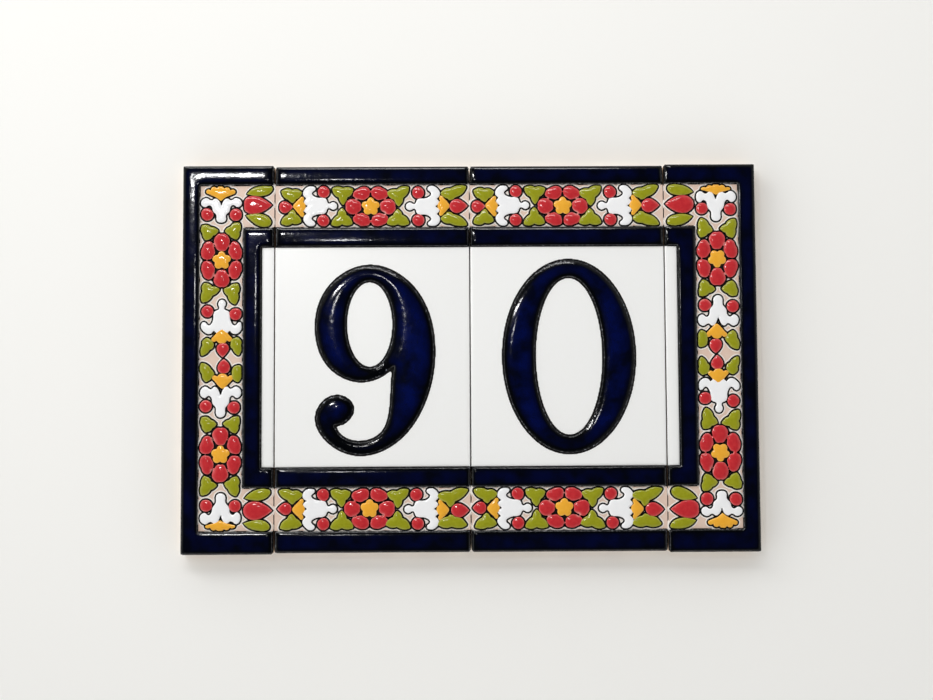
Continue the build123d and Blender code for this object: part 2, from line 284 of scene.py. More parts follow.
def slab(name, low, high):
    """A box between two corners, as a new piece."""
    middle = [(a + b) / 2 for a, b in zip(low, high)]
    bpy.ops.object.select_all(action="DESELECT")
    bpy.ops.mesh.primitive_cube_add(size=1, location=middle)
    piece = bpy.context.object
    piece.name = name
    piece.scale = [b - a for a, b in zip(low, high)]
    bpy.ops.object.transform_apply(location=True, rotation=True, scale=True)
    return piece


def join(pieces):
    """Makes one object of several."""
    bpy.ops.object.select_all(action="DESELECT")
    for piece in pieces:
        piece.select_set(True)
    bpy.context.view_layer.objects.active = pieces[0]
    bpy.ops.object.join()
    return pieces[0]


def bar_block(tile, name):
    """A tile's bars as blocks: four across a number tile, or two that run round three sides of an end tile."""
    # The inner two levels come first, and on an end tile they stop at the inner upright
    low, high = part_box(tile)
    left, right = low.x + BAR_INSET, high.x - BAR_INSET
    levels = [
        (DESIGN_LIFT + FIELD_HALF, DESIGN_LIFT + INNER_HALF),
        (DESIGN_LIFT - INNER_HALF, DESIGN_LIFT - FIELD_HALF),
        (DESIGN_LIFT + STRIP_HALF, high.z - BAR_INSET),
        (low.z + BAR_INSET, DESIGN_LIFT - STRIP_HALF),
    ]
    uprights = [(BAR_INSET, SIDE_OUTER), (SIDE_OUTER + SIDE_STRIP, SIDE_OUTER + SIDE_STRIP + SIDE_INNER)]
    boxes = []
    for k, (bottom, top) in enumerate(levels):
        start, end = left, right
        if k < 2 and tile == "left_end_tile":
            start = low.x + uprights[1][0]
        elif k < 2 and tile == "right_end_tile":
            end = high.x - uprights[1][0]
        boxes.append(((start, bottom), (end, top)))
    if tile not in NUMBER_TILES:
        reaches = [(levels[3][0], levels[2][1]), (levels[1][0], levels[0][1])]
        for (near, far), (bottom, top) in zip(uprights, reaches):
            start, end = low.x + near, low.x + far
            if tile == "right_end_tile":
                start, end = high.x - far, high.x - near
            boxes.append(((start, bottom), (end, top)))
    return join([slab(name, (x, BAR_TOP, z), (end, ROOT, top)) for (x, z), (end, top) in boxes])


# Cobalt glaze: glassy and almost black, bluer where it lies thick, in clouds of about seven millimetres.
# It is dry at its edge, where grains of sand glint, drawn a little coarse at 0.8 mm so that they show; their grey
# specks are partly the sand's own colour and partly a painted glint.
# The skin has a faint wave of about three millimetres.
navy, tree, shader, place = new_material("cobalt_glaze")
depth = add_node(tree, "ShaderNodeSeparateXYZ", {"Vector": place}).node.outputs["Y"]
thick = add_node(tree, "ShaderNodeMapRange", {"Value": depth, "From Min": FACE, "From Max": NAVY_FULL})
cloud = add_node(tree, "ShaderNodeTexNoise", {"Vector": place, "Scale": 1 / (7 * MM), "Detail": 4})
patchy = add_node(tree, "ShaderNodeMapRange", {"Value": cloud, "From Min": 0.35, "From Max": 0.65})
pooled = {"Factor": patchy, "A": linear(NAVY_HEX), "B": linear(NAVY_DEEP_HEX)}
blue = {"Value": depth, "From Min": NAVY_BLUE, "From Max": DIGIT_TOP}
thinned = {
    "Factor": add_node(tree, "ShaderNodeMapRange", blue),
    "A": linear(NAVY_THIN_HEX),
    "B": add_node(tree, "ShaderNodeMix", pooled, data_type="RGBA"),
}
sand_and_glint_grain = add_node(tree, "ShaderNodeTexNoise", {"Vector": place, "Scale": 1 / (0.8 * MM), "Detail": 2})
bare = add_node(
    tree, "ShaderNodeMapRange", {"Value": thick, "From Min": 0.4, "From Max": 0.85, "To Min": 0.13, "To Max": -0.2}
)
grit_and_glint_mask = add_node(tree, "ShaderNodeMath", {0: sand_and_glint_grain, 1: bare}, operation="ADD")
# Grey specks at the thin dry edge: partly sandy grain in the glaze, partly painted glints
sand_and_painted_glint = {
    "Factor": add_node(tree, "ShaderNodeMapRange", {"Value": grit_and_glint_mask, "From Min": 0.66, "From Max": 0.74}),
    "A": add_node(tree, "ShaderNodeMix", thinned, data_type="RGBA"),
    "B": linear(SAND_AND_GLINT_HEX),
}
tree.links.new(add_node(tree, "ShaderNodeMix", sand_and_painted_glint, data_type="RGBA"), shader.inputs["Base Color"])
peel = add_node(tree, "ShaderNodeTexNoise", {"Vector": place, "Scale": 1 / (2.6 * MM), "Detail": 3})
smooth = add_node(tree, "ShaderNodeBump", {"Height": peel, "Distance": 0.2 * MM, "Strength": 0.22})
rough = add_node(
    tree, "ShaderNodeMapRange", {"Value": thick, "From Min": 0.25, "From Max": 0.85, "To Min": 0.9, "To Max": 0.0}
)
bump = add_node(
    tree, "ShaderNodeBump", {"Height": sand_and_glint_grain, "Distance": 0.25 * MM, "Strength": rough, "Normal": smooth}
)
tree.links.new(bump, shader.inputs["Normal"])
dry = {"Value": thick, "From Min": 0.45, "From Max": 0.75, "To Min": 0.22, "To Max": 0.09}
tree.links.new(add_node(tree, "ShaderNodeMapRange", dry), shader.inputs["Roughness"])
glint = add_node(
    tree, "ShaderNodeMapRange", {"Value": sand_and_glint_grain, "From Min": 0.5, "From Max": 0.62, "To Min": 0.06, "To Max": 1.0}
)
gloss = {"Value": thick, "From Min": 0.5, "From Max": 0.85, "To Min": glint, "To Max": 0.5}
tree.links.new(add_node(tree, "ShaderNodeMapRange", gloss), shader.inputs["Specular IOR Level"])
shader.inputs["IOR"].default_value = GLASS_IOR

for tile in TILES:
    bars = bar_block(tile, tile + ".bars")
    only(bars)
    bpy.ops.object.mode_set(mode="EDIT")
    slump(bars, BAR_VOXEL, BAR_FOOT, BAR_SLUMP)
    settle(bars, navy)

for tile in NUMBER_TILES:
    line = digit_line(tile, tile + ".digit_line")
    settle(line, dry_line)
    digit = digit_block(tile, tile + ".digit")
    slump(digit, DIGIT_VOXEL, DIGIT_FOOT, DIGIT_SLUMP)
    settle(digit, navy)

# Pools of the border: red petals, buds and berries, green leaves, yellow hearts, cups and fans, white lilies.
# Each cell was outlined with the dry line, filled with its glaze by hand, and slumped in the fire into a low dome.
RED_TOP, GREEN_TOP, YELLOW_TOP, WHITE_TOP = -7.9 * MM, -7.8 * MM, -7.7 * MM, -7.6 * MM
POOL_FOOT = -7.24 * MM
POOL_VOXEL = 0.31 * MM
POOL_BLOCKS = {"red": -8.2 * MM, "green": -8.2 * MM, "yellow": -8.0 * MM, "white": -7.75 * MM}
POOL_SLUMP = {"red": 90, "green": 65, "yellow": 57, "white": 20}
LAYERS = 3
CURVE_STEPS, BEAD_STEPS = 3, 1
RED_HEX, RED_THIN_HEX, RED_DEEP_HEX = "cf3a3d", "e89a92", "c02d34"
GREEN_HEX, GREEN_THIN_HEX, GREEN_DEEP_HEX = "a2a32a", "e0db8a", "94961e"
YELLOW_HEX, YELLOW_THIN_HEX, YELLOW_DEEP_HEX = "f7b944", "fde3a0", "f2ad36"
LILY_HEX, LILY_THIN_HEX, LILY_DEEP_HEX = "f6f7f8", "e8eaec", "fafafa"

# The drawing's own lengths, from here to the last pattern, are in millimetres
UNEVEN, UNEVEN_SPACING, UNEVEN_SEED = 0.22, 3.0, 5
STRIP_MIDDLE = 58.45
STRIP_LIMITS = (37.1, 7.85)
COLUMN_LIMITS = (7.95, 66.3)
ARM_LIMITS = (5.6, 7.85)
COLUMN_PLACE, ARM_PLACE = -2.7, 11.75
NOUGHT_ACROSS = -0.9

# Right halves of the motifs that are alike on both sides, on a unit width and length, from the tip to the back.
# A third value marks a sharp corner.
BUD = [(0, 0.56, 1), (0.3, 0.3), (0.5, -0.08), (0.34, -0.42), (0, -0.52)]
CUP = [(0, 0.56), (0.2, 0.34), (0.38, 0.02), (0.54, -0.32), (0.4, -0.46), (0.26, -0.34, 1), (0.13, -0.54)]
FAN = [
    (0, 0.52, 1), (0.2, 0.22), (0.42, 0.04), (0.55, -0.14), (0.46, -0.34), (0.36, -0.26, 1),
    (0.32, -0.46), (0.2, -0.5), (0.14, -0.38, 1), (0.09, -0.54), (0, -0.6),
]
LILY = [
    (0, 1.04), (0.1, 0.93), (0.06, 0.76), (0.19, 0.66), (0.22, 0.38), (0.33, 0.22), (0.46, 0.34),
    (0.54, 0.22), (0.46, 0.02), (0.3, -0.05), (0.2, 0.06, 1), (0.1, -0.04), (0, 0.1, 1),
]
OPEN_LILY = [
    (0, 1.04), (0.11, 0.96), (0.12, 0.72), (0.21, 0.56), (0.24, 0.36), (0.31, 0.29), (0.42, 0.38),
    (0.53, 0.2), (0.4, -0.02), (0.25, 0.08), (0.15, 0.0), (0.05, 0.12), (0, 0.42, 1),
]
# Half a petal, as the share of the way from its foot to the flower's reach, and the angle from the petal's middle
PETAL = [
    (0, 0), (0, 12), (0.08, 21), (0.25, 25.5), (0.5, 27.3), (0.73, 25), (0.9, 17), (0.98, 7), (0.96, 0),
]
PETALS, PETAL_FOOT = 6, 3.75
# Half a lobe of a heart, as its radius and the angle from the lobe's middle
HEART_LOBES, HEART_LOBE = 5, [(3.55, 0), (3.3, 17), (2.6, 36, 1)]
# Half a lobe of a leaf, on a unit width and length, and the widths of a leaf's three lobes
LOBE = [(0, 1.08), (0.17, 0.98), (0.44, 0.64), (0.5, 0.24), (0.36, -0.2), (0, -0.36)]
LOBE_WIDTHS = (3.3, 4.0, 3.9)
FLOWER_BED, BED_CORNERS = 0.8, 8
STRIP_FLOWER, COLUMN_FLOWER = (9.8, 8.3), (10.6, 8.5)
BERRY_REACH, BERRY_CORNERS = 2.3, 8
FAN_WIDTH, LILY_WIDTH, LILY_LENGTH = 10.4, 15.0, 12.0
LANCE_WIDTH, LANCE_LENGTH = 4.6, 9.4
SMALL_BUD, ARM_BUD = (4.6, 5.0), (6.9, 10.4)
COLUMN_BUD, COLUMN_CUP = (4.6, 5.2), (7.6, 5.0)


def placed(glaze, half, place, turn, width, length):
    """A cell of the pattern from its right half: sized, turned anticlockwise and moved to its place."""
    whole = half + [(-x, *rest) for x, *rest in reversed(half) if x]
    spin = Matrix.Rotation(math.radians(turn), 2)
    return glaze, [(*(spin @ Vector((x * width, z * length)) + Vector(place)), *sharp) for x, z, *sharp in whole]


def flower(place, turn, reach):
    """Six petals round a heart of five lobes, on a dark bed, with the flower's reach along and across it."""
    cells, heart, bed = [], [], []
    spin = Matrix.Rotation(math.radians(turn), 2)
    petal = PETAL + [(share, -angle) for share, angle in reversed(PETAL) if angle]
    for k in range(PETALS):
        outline = []
        for share, off in petal:
            angle = math.radians(360 / PETALS * k + off)
            foot = Vector((math.cos(angle), math.sin(angle))) * PETAL_FOOT
            end = Vector((reach[0] * math.cos(angle), reach[1] * math.sin(angle)))
            outline.append(spin @ foot.lerp(end, share) + Vector(place))
        cells.append(("red", outline))
    for k in range(HEART_LOBES):
        for radius, off, *sharp in [(r, -a, *s) for r, a, *s in HEART_LOBE[1:2]] + HEART_LOBE:
            angle = math.radians(360 / HEART_LOBES * k + off)
            corner = Matrix.Rotation(angle, 2) @ Vector((0, radius)) + Vector(place)
            heart.append((*corner, *sharp))
    for k in range(BED_CORNERS):
        angle = math.radians(360 / BED_CORNERS * k)
        corner = Vector((FLOWER_BED * reach[0] * math.cos(angle), FLOWER_BED * reach[1] * math.sin(angle)))
        bed.append(spin @ corner + Vector(place))
    return cells + [("line", bed), ("yellow", heart)]


def leaf(*ends):
    """A leaf of three lobes that run together at its middle, given by their ends."""
    ends = [Vector(end) for end in ends]
    middle = (ends[0] + ends[1] + ends[2]) / 3
    lobes = []
    for end, width in zip(ends, LOBE_WIDTHS):
        along = end - middle
        turn = math.degrees(math.atan2(-along.x, along.y))
        lobes.append(placed("green", LOBE, middle, turn, width, along.length))
    return lobes


def berry(*place):
    """A small round red cell."""
    angles = [2 * math.pi / BERRY_CORNERS * k for k in range(BERRY_CORNERS)]
    around = [(BERRY_REACH * math.sin(angle), BERRY_REACH * math.cos(angle)) for angle in angles]
    return "red", [Vector(corner) + Vector(place) for corner in around]


def bud(place, turn, width=5.4, length=6.4):
    """A red bud with one sharp tip."""
    return placed("red", BUD, place, turn, width, length)


def cup(place, turn, width=7.4, length=4.2):
    """The yellow cup that a lily stands in."""
    return placed("yellow", CUP, place, turn, width, length)


def fan(place, turn, length=5.2):
    """The wide yellow cup at either end of a column."""
    return placed("yellow", FAN, place, turn, FAN_WIDTH, length)


def lily(place, turn):
    """A white lily with a pinched tip."""
    return placed("white", LILY, place, turn, LILY_WIDTH, LILY_LENGTH)


def open_lily(place, turn, length=11.2):
    """A white lily that is notched deep at its back."""
    return placed("white", OPEN_LILY, place, turn, LILY_WIDTH, length)


def lance(place, turn):
    """A long single leaf, as on the arms of an end tile."""
    return placed("green", BUD, place, turn, LANCE_WIDTH, LANCE_LENGTH)


# The border's patterns, each from the middle of its strip, column or arm
UPPER_STRIP = [
    *flower((-0.6, -0.2), 0, STRIP_FLOWER),
    *leaf((-30.8, 1.6), (-34.8, 5.8), (-27.5, 5.4)),
    *leaf((-30.7, -1.7), (-34.8, -6.6), (-27.8, -5.8)),
    *leaf((-11.3, 0.9), (-15.1, 6.8), (-7.8, 6.5)),
    *leaf((-11.6, -1.0), (-15.4, -7.0), (-8.0, -6.7)),
    *leaf((10.4, 0.2), (13.8, 7.2), (6.1, 5.1)),
    *leaf((9.8, -1.6), (14.0, -6.8), (6.1, -6.6)),
    *leaf((29.7, 2.5), (36.0, 7.2), (26.8, 4.8)),
    *leaf((29.0, -2.8), (36.2, -7.2), (26.8, -5.0)),
    lily((-26.1, 0.1), -90),
    lily((25.6, -0.2), 90),
    cup((-28.3, -0.1), 90),
    cup((27.8, 0.0), -90),
    bud((-33.4, -0.3), -90, *SMALL_BUD),
    bud((33.4, -0.1), -90),
    berry(-18.8, 5.6),
    berry(-18.9, -5.6),
    berry(17.8, 5.2),
    berry(17.9, -5.6),
]
LOWER_STRIP = [
    *flower((-1.1, 0.2), 0, STRIP_FLOWER),
    *leaf((-30.6, 2.4), (-35.3, 7.1), (-27.0, 5.8)),
    *leaf((-30.8, -1.9), (-34.9, -6.9), (-27.4, -5.8)),
    *leaf((-11.8, 1.2), (-15.6, 7.1), (-8.7, 6.4)),
    *leaf((-11.6, -0.9), (-15.7, -6.9), (-7.8, -6.8)),
    *leaf((9.7, 0.7), (13.5, 7.2), (5.9, 6.0)),
    *leaf((9.5, -1.2), (14.0, -6.9), (5.3, -5.8)),
    *leaf((29.6, 1.0), (36.0, 7.2), (25.0, 5.0)),
    *leaf((29.8, -2.5), (35.6, -6.0), (25.2, -5.8)),
    lily((-26.1, 0.2), -90),
    lily((24.7, 0.0), 90),
    cup((-28.3, 0.1), 90),
    cup((27.0, -0.4), -90),
    bud((-33.6, 0.3), 90, *SMALL_BUD),
    bud((33.5, -0.6), -90),
    berry(-18.9, 5.6),
    berry(-18.8, -5.6),
    berry(16.7, 5.4),
    berry(17.3, -5.6),
]
COLUMN = [
    fan((-0.3, 63.4), 180),
    open_lily((-0.1, 61.6), 180, 9.0),
    berry(-5.5, 55.4),
    berry(5.6, 55.2),
    *leaf((-1.5, 49.2), (-7.3, 50.8), (-6.0, 45.6)),
    *leaf((1.7, 48.9), (6.8, 51.8), (5.8, 46.0)),
    *flower((0.2, 37.5), 90, COLUMN_FLOWER),
    *leaf((-0.9, 26.1), (-7.0, 21.6), (-6.4, 28.5)),
    *leaf((1.4, 26.2), (5.5, 20.8), (6.3, 28.2)),
    lily((0.4, 9.6), 0),
    berry(-5.2, 17.7),
    berry(5.6, 16.6),
    cup((0.5, 8.3), 0, *COLUMN_CUP),
    *leaf((-7.2, 1.0), (-5.2, 7.2), (-2.9, 5.4)),
    *leaf((6.9, 1.0), (6.4, 7.4), (4.3, 5.8)),
    bud((0.8, 2.9), 180, *COLUMN_BUD),
    bud((1.2, -3.6), 0, *COLUMN_BUD),
    *leaf((-2.6, -6.3), (-7.2, -2.6), (-5.4, -9.3)),
    *leaf((4.4, -5.8), (7.2, -3.3), (6.8, -9.3)),
    cup((0.8, -9.3), 180, *COLUMN_CUP),
    open_lily((0.1, -11.4), 180),
    berry(-5.6, -18.8),
    berry(5.1, -19.4),
    *leaf((-1.7, -25.5), (-7.0, -23.3), (-5.6, -28.5)),
    *leaf((1.4, -25.4), (6.9, -23.2), (5.8, -28.9)),
    *flower((0.1, -37.4), 90, COLUMN_FLOWER),
    *leaf((-1.4, -49.1), (-6.8, -52.5), (-6.0, -45.8)),
    *leaf((2.1, -48.5), (6.2, -52.8), (6.3, -46.0)),
    open_lily((0.4, -63.7), 0),
    berry(-5.2, -56.7),
    berry(5.8, -57.0),
    fan((0.2, -64.2), 0, 3.6),
]
UPPER_ARM = [
    bud((-0.7, 0.6), -90, *ARM_BUD),
    lance((0.5, 6.2), 105),
    lance((0.1, -5.1), 72),
]
LOWER_ARM = [
    bud((0.0, -0.3), -90, *ARM_BUD),
    lance((0.1, 5.8), 105),
    lance((-0.2, -6.0), 80),
]


def laid(pattern, limits, place, turned=False, across=0):
    """A pattern's cells moved to their strip and kept in it, with the unevenness of drawing by hand, in metres."""
    sense = -1 if turned else 1
    cells = []
    for glaze, outline in pattern:
        moved = []
        for x, z, *sharp in outline:
            sway = noise.noise_vector(Vector((x, place[1], z)) / UNEVEN_SPACING) * UNEVEN
            spot = (x + across + sway.x, z + sway.z)
            kept = [max(-limit, min(limit, v)) for v, limit in zip(spot, limits)]
            moved.append(((place[0] + sense * kept[0]) * MM, (place[1] + sense * kept[1]) * MM, *sharp))
        cells.append((glaze, moved))
    return cells


def border_cells(tile):
    """All the cells of a tile's border, on its face."""
    low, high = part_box(tile)
    middle, lift = (low.x + high.x) / 2 / MM, DESIGN_LIFT / MM
    if tile in NUMBER_TILES:
        across = NOUGHT_ACROSS if tile == "zero_tile" else 0
        cells = laid(UPPER_STRIP, STRIP_LIMITS, (middle, lift + STRIP_MIDDLE), across=across)
        return cells + laid(LOWER_STRIP, STRIP_LIMITS, (middle, lift - STRIP_MIDDLE), across=across)
    turned = tile == "right_end_tile"
    sense = -1 if turned else 1
    arm = middle + sense * ARM_PLACE
    cells = laid(COLUMN, COLUMN_LIMITS, (middle + sense * COLUMN_PLACE, lift), turned)
    cells += laid(UPPER_ARM, ARM_LIMITS, (arm, lift + sense * STRIP_MIDDLE), turned)
    return cells + laid(LOWER_ARM, ARM_LIMITS, (arm, lift - sense * STRIP_MIDDLE), turned)


def draw(name, outlines, half=0):
    """Draws closed smooth outlines on the tile's face: filled flat, or each with a round bead of a half width."""
    path = bpy.data.curves.new(name, "CURVE")
    path.dimensions, path.fill_mode = ("3D", "FULL") if half else ("2D", "FRONT")
    path.bevel_depth, path.bevel_resolution = half, BEAD_STEPS
    path.resolution_u = CURVE_STEPS
    for outline in outlines:
        spline = path.splines.new("BEZIER")
        spline.bezier_points.add(len(outline) - 1)
        spline.use_cyclic_u = True
        for knot, (x, z, *sharp) in zip(spline.bezier_points, outline):
            knot.co = (x, z, 0)
            knot.handle_left_type = knot.handle_right_type = "VECTOR" if sharp else "AUTO"
    piece = bpy.data.objects.new(name, path)
    bpy.context.scene.collection.objects.link(piece)
    piece.location.y = FACE
    piece.rotation_euler.x = math.pi / 2
    only(piece)
    bpy.ops.object.convert(target="MESH")
    piece = bpy.context.object
    bpy.ops.object.transform_apply(location=True, rotation=True, scale=True)
    return piece


def block(piece, top):
    """Raises a flat drawing to its top and makes a block of it, down into the tile. The piece is left open."""
    only(piece)
    bpy.ops.object.mode_set(mode="EDIT")
    bpy.ops.mesh.select_all(action="SELECT")
    bpy.ops.transform.translate(value=(0, top - FACE, 0))
    bpy.ops.mesh.extrude_region_move(TRANSFORM_OT_translate={"value": (0, ROOT - top, 0)})


def pool(outlines, top, times, name):
    """Cells of one glaze: blocks with their drawn outlines, in layers so that a leaf's lobes may overlap, slumped."""
    piece = join([draw(name, outlines[k::LAYERS]) for k in range(LAYERS)])
    block(piece, top)
    slump(piece, POOL_VOXEL, POOL_FOOT, times)
    return piece


def glaze_material(name, top, body, thin, deep, wave=0.3, roughness=0.1):
    """A coloured glaze: glassy, pale where it is thin at the rim and deeper where it lies thick."""
    glaze, tree, shader, place = new_material(name)
    depth = add_node(tree, "ShaderNodeSeparateXYZ", {"Vector": place}).node.outputs["Y"]
    thick = add_node(tree, "ShaderNodeMapRange", {"Value": depth, "From Min": FACE, "From Max": top})
    cloud = add_node(tree, "ShaderNodeTexNoise", {"Vector": place, "Scale": 1 / (1.6 * MM), "Detail": 3})
    uneven = add_node(tree, "ShaderNodeMapRange", {"Value": cloud, "To Min": -0.35, "To Max": 0.35})
    laid_on = add_node(tree, "ShaderNodeMath", {0: thick, 1: uneven}, operation="ADD")
    rim = {
        "Factor": add_node(tree, "ShaderNodeMapRange", {"Value": laid_on, "From Min": 0.25, "From Max": 0.7}),
        "A": linear(thin),
        "B": linear(body),
    }
    full = {
        "Factor": add_node(tree, "ShaderNodeMapRange", {"Value": laid_on, "From Min": 0.7, "From Max": 1.1}),
        "A": add_node(tree, "ShaderNodeMix", rim, data_type="RGBA"),
        "B": linear(deep),
    }
    tree.links.new(add_node(tree, "ShaderNodeMix", full, data_type="RGBA"), shader.inputs["Base Color"])
    peel = add_node(tree, "ShaderNodeTexNoise", {"Vector": place, "Scale": 1 / (1.4 * MM), "Detail": 1})
    bump = add_node(tree, "ShaderNodeBump", {"Height": peel, "Distance": 0.15 * MM, "Strength": wave})
    tree.links.new(bump, shader.inputs["Normal"])
    shader.inputs["Roughness"].default_value = roughness
    shader.inputs["IOR"].default_value = GLASS_IOR
    return glaze


# Red, green, yellow and white glazes: thick and glassy, each a little paler at the rim of its pool and deeper
# at the middle, in clouds of about a millimetre and a half, with a wavy skin that breaks up what it mirrors.
glazes = {
    "red": glaze_material("red_glaze", RED_TOP, RED_HEX, RED_THIN_HEX, RED_DEEP_HEX),
    "green": glaze_material("green_glaze", GREEN_TOP, GREEN_HEX, GREEN_THIN_HEX, GREEN_DEEP_HEX),
    "yellow": glaze_material("yellow_glaze", YELLOW_TOP, YELLOW_HEX, YELLOW_THIN_HEX, YELLOW_DEEP_HEX),
    "white": glaze_material("lily_white_glaze", WHITE_TOP, LILY_HEX, LILY_THIN_HEX, LILY_DEEP_HEX),
}

noise.seed_set(UNEVEN_SEED)
borders = {tile: border_cells(tile) for tile in TILES}
for tile in TILES:
    for kind in glazes:
        outlines = [outline for glaze, outline in borders[tile] if glaze == kind]
        flowers = pool(outlines, POOL_BLOCKS[kind], POOL_SLUMP[kind], f"{tile}.{kind}")
        settle(flowers, glazes[kind])

# Threads: the dry line that was drawn round each cell of the border before the glazes were filled in.
# They are the same manganese paint as the coat, stand a little above the ground, and meet under the flowers.
LINE_HALF, LINE_RISE = 1.0 * MM, 0.26
BED_TOP = -7.22 * MM


def bead(outlines, half, rise, name):
    """A low rounded line along each outline, with its half width and the share of that by which it rises."""
    piece = draw(name, outlines, half)
    bpy.ops.object.mode_set(mode="EDIT")
    bpy.ops.mesh.select_all(action="SELECT")
    bpy.ops.transform.resize(value=(1, rise, 1), center_override=(0, FACE, 0))
    bpy.ops.mesh.normals_make_consistent(inside=False)
    bpy.ops.object.mode_set(mode="OBJECT")
    bpy.ops.object.shade_smooth()
    return piece


for tile in TILES:
    threads = bead([outline for glaze, outline in borders[tile]], LINE_HALF, LINE_RISE, tile + ".threads")
    settle(threads, dry_line)
    beds = draw(tile + ".beds", [outline for glaze, outline in borders[tile] if glaze == "line"])
    block(beds, BED_TOP)
    bpy.ops.mesh.select_all(action="SELECT")
    bpy.ops.mesh.normals_make_consistent(inside=False)
    settle(beds, dry_line)

# Ground of the border: the thin beige glaze that fills what is left between the flowers and their lines.
# It was trailed on last, lies flatter and lower than the flowers, and is drawn up a little at their lines.
BAR_LINE, EDGE_LINE = 0.35 * MM, 0.03 * MM
GROUND_TOP = -7.12 * MM
RIM_HALF, RIM_RISE = 1.7 * MM, 0.11
GROUND_ROUGHNESS = 0.4
RIM_HEX, RIM_EDGE_HEX = "f5eee6", "faf7f2"
GROUND_HEX, GROUND_THIN_HEX, GROUND_DEEP_HEX = "ead3c3", "f7f1ea", "e6cab8"

# Beige glaze: a thin satin coat that lets the clay's warmth through, nearly white where it is thinnest at the lines
thin_beige = glaze_material(
    "thin_beige_glaze", GROUND_TOP, RIM_HEX, RIM_EDGE_HEX, RIM_HEX, roughness=GROUND_ROUGHNESS
)
beige = glaze_material(
    "beige_glaze", GROUND_TOP, GROUND_HEX, GROUND_THIN_HEX, GROUND_DEEP_HEX, roughness=GROUND_ROUGHNESS
)

for tile in TILES:
    low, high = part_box(tile)
    ends = [low.x + EDGE_LINE, high.x - EDGE_LINE]
    column = None
    if tile == "left_end_tile":
        column = [low.x + SIDE_OUTER + BAR_LINE, low.x + SIDE_OUTER + SIDE_STRIP - BAR_LINE]
        ends[0] = column[1]
    elif tile == "right_end_tile":
        column = [high.x - SIDE_OUTER - SIDE_STRIP + BAR_LINE, high.x - SIDE_OUTER - BAR_LINE]
        ends[1] = column[0]
    strips = []
    for start, end in ((INNER_HALF, STRIP_HALF), (-STRIP_HALF, -INNER_HALF)):
        strips.append(slab(
            tile + ".ground",
            (ends[0], GROUND_TOP, DESIGN_LIFT + start + BAR_LINE),
            (ends[1], ROOT, DESIGN_LIFT + end - BAR_LINE),
        ))
    if column:
        strips.append(slab(
            tile + ".ground",
            (column[0], GROUND_TOP, DESIGN_LIFT - STRIP_HALF + BAR_LINE),
            (column[1], ROOT, DESIGN_LIFT + STRIP_HALF - BAR_LINE),
        ))
    settle(join(strips), beige)
    rims = bead([outline for glaze, outline in borders[tile]], RIM_HALF, RIM_RISE, tile + ".ground_rims")
    settle(rims, thin_beige)

# Field: the thick opaque white glaze behind the digits, which runs on a little way over the end tiles.
# It was flooded on between the inner bars and round the digits, and is rounded at its rim.
FIELD_RIM = -7.1 * MM
FIELD_RINGS = ((0.25 * MM, 0.14 * MM), (0.5 * MM, 0.1 * MM), (1.2 * MM, 0.04 * MM))
FIELD_HEX, FIELD_THIN_HEX, FIELD_DEEP_HEX = "f9f9f6", "e0e0de", "fafaf8"
FIELD_WAVE, FIELD_ROUGHNESS = 0.05, 0.28
FIELD_SMOOTH = math.radians(60)


def round_rim(piece, rings):
    """Raises the front of a pool in steps from its rim."""
    pick(piece, lambda face: face.normal.y < -FACING)
    for step, rise in rings:
        bpy.ops.mesh.inset(thickness=step, use_even_offset=False)
        bpy.ops.transform.translate(value=(0, -rise, 0))
    bpy.ops.object.mode_set(mode="OBJECT")
    bpy.ops.object.shade_smooth_by_angle(angle=FIELD_SMOOTH)


# White tin glaze: opaque, even and satin, greyer only where it thins at its rim
field_top = FIELD_RIM - sum(rise for step, rise in FIELD_RINGS)
field_white = glaze_material(
    "white_glaze", field_top, FIELD_HEX, FIELD_THIN_HEX, FIELD_DEEP_HEX, FIELD_WAVE, FIELD_ROUGHNESS
)

for tile in TILES:
    low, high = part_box(tile)
    ends = [low.x + EDGE_LINE, high.x - EDGE_LINE]
    if tile == "left_end_tile":
        ends[0] = low.x + SIDE_OUTER + SIDE_STRIP + SIDE_INNER + BAR_LINE
    elif tile == "right_end_tile":
        ends[1] = high.x - SIDE_OUTER - SIDE_STRIP - SIDE_INNER - BAR_LINE
    field = slab(
        tile + ".field",
        (ends[0], FIELD_RIM, DESIGN_LIFT - FIELD_HALF + BAR_LINE),
        (ends[1], ROOT, DESIGN_LIFT + FIELD_HALF - BAR_LINE),
    )
    only(field)
    round_rim(field, FIELD_RINGS)
    settle(field, field_white)

# Wall: the plain pale render behind the plaque, left open behind each tile so that the tile's back can be seen.
# It isn't part of the object.
WALL_HEX = "fcfbf7"
WALL_GAP = 0.05 * MM
WALL_SIZE = 4.0
WALL_LAP = 1.5 * MM

# Matt wall paint: warm white and dull, so that only soft shadows show on it
wall_paint, tree, shader, place = new_material("matt_wall_paint")
shader.inputs["Base Color"].default_value = linear(WALL_HEX)
shader.inputs["Roughness"].default_value = 0.9

bpy.ops.object.select_all(action="DESELECT")
bpy.ops.mesh.primitive_plane_add(size=WALL_SIZE, location=(0, WALL_GAP, 0), rotation=(math.pi / 2, 0, 0))
wall = bpy.context.object
wall.name = "wall"
bpy.ops.object.transform_apply(location=True, rotation=True, scale=True)
bpy.ops.object.mode_set(mode="EDIT")
openings = []
for tile in TILES:
    low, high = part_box(tile)
    low, high = low + Vector((WALL_LAP, 0, WALL_LAP)), high - Vector((WALL_LAP, 0, WALL_LAP))
    openings.append((low, high))
    for corner in (low, high):
        for across in ((1, 0, 0), (0, 0, 1)):
            bpy.ops.mesh.select_all(action="SELECT")
            bpy.ops.mesh.bisect(plane_co=corner, plane_no=across, threshold=FINE)
for low, high in openings:
    pick(wall, lambda face: low.x < face.center.x < high.x and low.z < face.center.z < high.z)
    bpy.ops.mesh.delete(type="FACE")
bpy.ops.object.mode_set(mode="OBJECT")
wall.data.materials.append(wall_paint)

